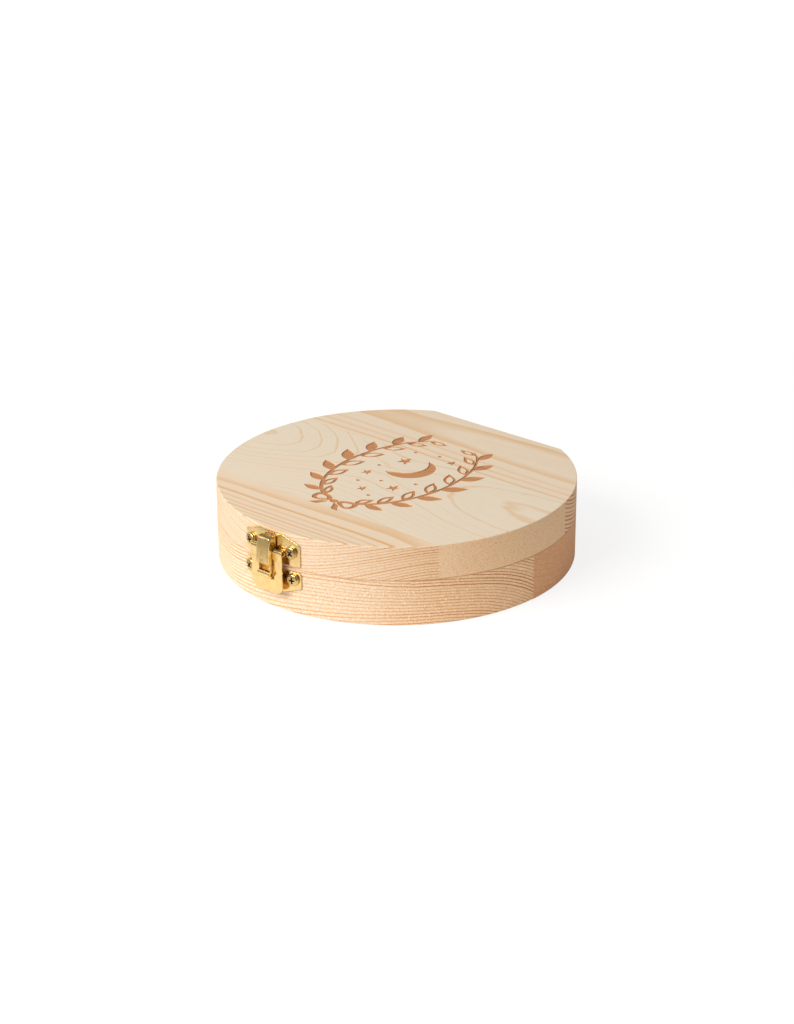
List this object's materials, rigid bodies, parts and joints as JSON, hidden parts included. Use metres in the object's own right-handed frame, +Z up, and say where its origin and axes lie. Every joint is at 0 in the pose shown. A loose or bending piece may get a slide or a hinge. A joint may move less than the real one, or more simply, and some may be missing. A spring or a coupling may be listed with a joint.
{
  "type": "baby tooth box",
  "caption": "Round wooden keepsake box with a flat side, a hinged lid closed by a brass toggle latch, and round pockets inside for milk teeth.",
  "frame": {"origin": "centre of the box's round outline, on the flat face that the box stands on", "axes": "+Z up out of the lid, -Y towards the latch at the front, +Y towards the flat side with the hinges, +X to the right as seen from the front"},
  "size_m": [0.124, 0.1248, 0.028],
  "materials": {
    "pine": "clear satin, planed and sanded",
    "brass": "polished"
  },
  "bodies": {
    "base": {"base_front_stave": "pine", "base_back_stave": "pine", "latch_back_plate": "brass", "back_plate_screws": "brass", "lever_pin": "brass", "left_hinge_base_leaf": "brass", "right_hinge_base_leaf": "brass", "left_hinge_pin": "brass", "right_hinge_pin": "brass", "base_hinge_screws": "brass"},
    "lid": {"lid_front_stave": "pine", "lid_middle_stave": "pine", "lid_back_stave": "pine", "catch_plate": "brass", "catch_plate_screws": "brass", "left_hinge_lid_leaf": "brass", "right_hinge_lid_leaf": "brass", "lid_hinge_screws": "brass"},
    "lever": {"latch_lever": "brass"},
    "claw_pin": {"claw_pin": "brass"},
    "claw": {"latch_claw": "brass"}
  },
  "joints": [
    {"name": "lid_hinge", "type": "hinge", "parent": "base", "child": "lid", "pos_m": [0, 0.0564, 0.016], "axis": [-1, 0, 0], "range_deg": [0, 180]},
    {"name": "latch_lever", "type": "hinge", "parent": "base", "child": "lever", "pos_m": [0, -0.0638, 0.0213], "axis": [-1, 0, 0], "range_deg": [0, 110]},
    {"name": "claw_follow", "type": "hinge", "parent": "lever", "child": "claw_pin", "pos_m": [0, -0.06525, 0.0132], "axis": [1, 0, 0], "range_deg": [0, 60.5]},
    {"name": "claw_swing", "type": "hinge", "parent": "claw_pin", "child": "claw", "pos_m": [0, -0.06525, 0.0132], "axis": [1, 0, 0], "range_deg": [0, 60]}
  ],
  "couplings": [
    {"joint": "claw_follow", "follows": "latch_lever", "ratio": 0.55}
  ]
}
